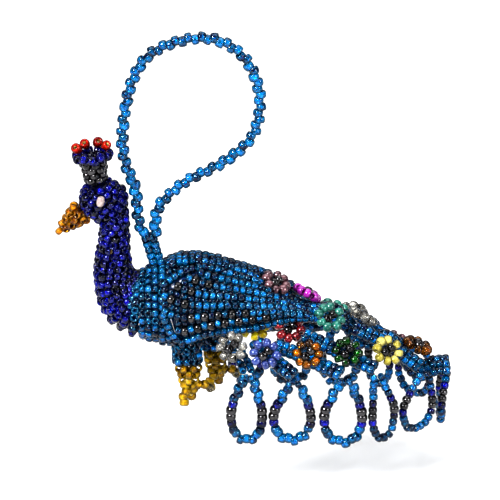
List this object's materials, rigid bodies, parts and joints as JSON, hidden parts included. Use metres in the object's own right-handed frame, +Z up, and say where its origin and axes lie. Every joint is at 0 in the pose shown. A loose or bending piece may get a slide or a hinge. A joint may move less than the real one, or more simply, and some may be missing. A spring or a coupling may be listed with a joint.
{
  "type": "beaded bird ornament",
  "caption": "Peacock ornament woven from glass seed beads, with a beaded hanging loop, flower-set tail and looped fringe.",
  "frame": {"origin": "inside top of the hanging loop, where a hook touches it", "axes": "+Z up; the bird faces -X with its tail towards +X; +Y is the bird's right side"},
  "size_m": [0.0997, 0.042, 0.1027],
  "materials": {
    "capri_glass": "silver-lined transparent capri blue seed beads",
    "cobalt_glass": "transparent cobalt blue seed beads",
    "hematite": "metallic hematite coated seed beads",
    "amber_glass": "silver-lined amber seed beads",
    "gold_glass": "transparent golden yellow seed beads",
    "crest_red": "silver-lined red round beads",
    "pearl_white": "opaque pearl white beads",
    "crystal_glass": "clear silver-lined seed beads",
    "periwinkle_lustre": "opaque periwinkle beads with a lustre",
    "green_glass": "transparent dark green seed beads",
    "lemon_glass": "pale yellow lined seed beads",
    "yellow_opaque": "opaque yellow seed beads",
    "red_lustre": "opaque red beads with a lustre",
    "teal_opaque": "opaque teal seed beads",
    "mauve_lustre": "opaque mauve beads with a lustre",
    "magenta_opaque": "opaque magenta seed beads"
  },
  "bodies": {
    "bird": {"head_shell": "cobalt_glass", "beak": "amber_glass", "eye_left": "pearl_white", "eye_right": "pearl_white", "crest_collar": "hematite", "crest_rim": "cobalt_glass", "crest_bead_1": "crest_red", "crest_bead_2": "crest_red", "crest_bead_3": "crest_red", "crest_bead_4": "crest_red", "neck_shell": "cobalt_glass", "body_shell": "capri_glass", "wing_left": "capri_glass", "wing_right": "capri_glass"},
    "stem": {"hang_stem": "capri_glass"},
    "loop": {"hang_loop": "capri_glass"},
    "leg_left": {"leg_left": "capri_glass", "foot_left": "gold_glass"},
    "leg_right": {"leg_right": "capri_glass", "foot_right": "gold_glass"},
    "tail": {"tail_ridge": "capri_glass", "tail_rib_left_1": "capri_glass", "tail_rib_right_1": "capri_glass", "tail_rib_left_2": "capri_glass", "tail_rib_right_2": "capri_glass", "tail_rib_left_3": "capri_glass", "tail_rib_right_3": "capri_glass", "tail_rib_left_4": "capri_glass", "tail_rib_right_4": "capri_glass", "tail_rib_left_5": "capri_glass", "tail_rib_right_5": "capri_glass", "flower_left_crystal": "crystal_glass", "flower_left_periwinkle": "periwinkle_lustre", "flower_left_amber": "amber_glass", "flower_left_green": "green_glass", "flower_left_lemon": "lemon_glass", "flower_left_yellow": "yellow_opaque", "flower_left_red": "red_lustre", "flower_left_teal": "teal_opaque", "flower_top_mauve": "mauve_lustre", "flower_top_magenta": "magenta_opaque", "flower_top_crystal": "crystal_glass", "flower_top_topaz": "amber_glass", "flower_right_crystal": "crystal_glass", "flower_right_green": "green_glass", "flower_right_red": "red_lustre", "flower_right_yellow": "yellow_opaque", "flower_right_mauve": "mauve_lustre", "flower_right_teal": "teal_opaque"},
    "fringe_left": {"fringe_left_1": "capri_glass", "fringe_left_2": "capri_glass", "fringe_left_3": "capri_glass", "fringe_left_4": "capri_glass"},
    "fringe_right": {"fringe_right_1": "capri_glass", "fringe_right_2": "capri_glass", "fringe_right_3": "capri_glass", "fringe_right_4": "capri_glass"},
    "fringe_left_corner": {"fringe_left_5": "capri_glass"},
    "fringe_right_corner": {"fringe_right_5": "capri_glass"},
    "fringe_end": {"fringe_end": "capri_glass"}
  },
  "joints": [
    {"name": "loop_tilt", "type": "hinge", "parent": "bird", "child": "stem", "pos_m": [-0.0127, 0, -0.0579], "axis": [1, 0, 0], "range_deg": [-20, 20]},
    {"name": "loop_swing", "type": "hinge", "parent": "stem", "child": "loop", "pos_m": [-0.0146, 0, -0.0506], "axis": [0, 1, 0], "range_deg": [0, 25]},
    {"name": "tail_droop", "type": "hinge", "parent": "bird", "child": "tail", "pos_m": [0.009, 0, -0.0685], "axis": [0, 1, 0], "range_deg": [0, 10]},
    {"name": "fringe_left_swing", "type": "hinge", "parent": "tail", "child": "fringe_left", "pos_m": [0.026, -0.02, -0.0813], "axis": [1, 0, 0], "range_deg": [-15, 5]},
    {"name": "fringe_right_swing", "type": "hinge", "parent": "tail", "child": "fringe_right", "pos_m": [0.026, 0.02, -0.0813], "axis": [-1, 0, 0], "range_deg": [-15, 5]},
    {"name": "fringe_left_corner_swing", "type": "hinge", "parent": "tail", "child": "fringe_left_corner", "pos_m": [0.054, -0.0096, -0.0833], "axis": [0.7363, 0.6766, 0], "range_deg": [-15, 5]},
    {"name": "fringe_right_corner_swing", "type": "hinge", "parent": "tail", "child": "fringe_right_corner", "pos_m": [0.054, 0.0096, -0.0833], "axis": [-0.7363, 0.6766, 0], "range_deg": [-15, 5]},
    {"name": "fringe_end_swing", "type": "hinge", "parent": "tail", "child": "fringe_end", "pos_m": [0.0604, 0, -0.0847], "axis": [0, 1, 0], "range_deg": [-15, 12]},
    {"name": "leg_left_swing", "type": "hinge", "parent": "bird", "child": "leg_left", "pos_m": [-0.0053, -0.0052, -0.0775], "axis": [0, 1, 0], "range_deg": [-12, 12]},
    {"name": "leg_right_swing", "type": "hinge", "parent": "bird", "child": "leg_right", "pos_m": [0.0014, 0.0052, -0.0775], "axis": [0, 1, 0], "range_deg": [-12, 12]}
  ],
  "couplings": [
    {"joint": "fringe_left_corner_swing", "follows": "fringe_left_swing", "ratio": 1},
    {"joint": "fringe_right_corner_swing", "follows": "fringe_right_swing", "ratio": 1}
  ]
}
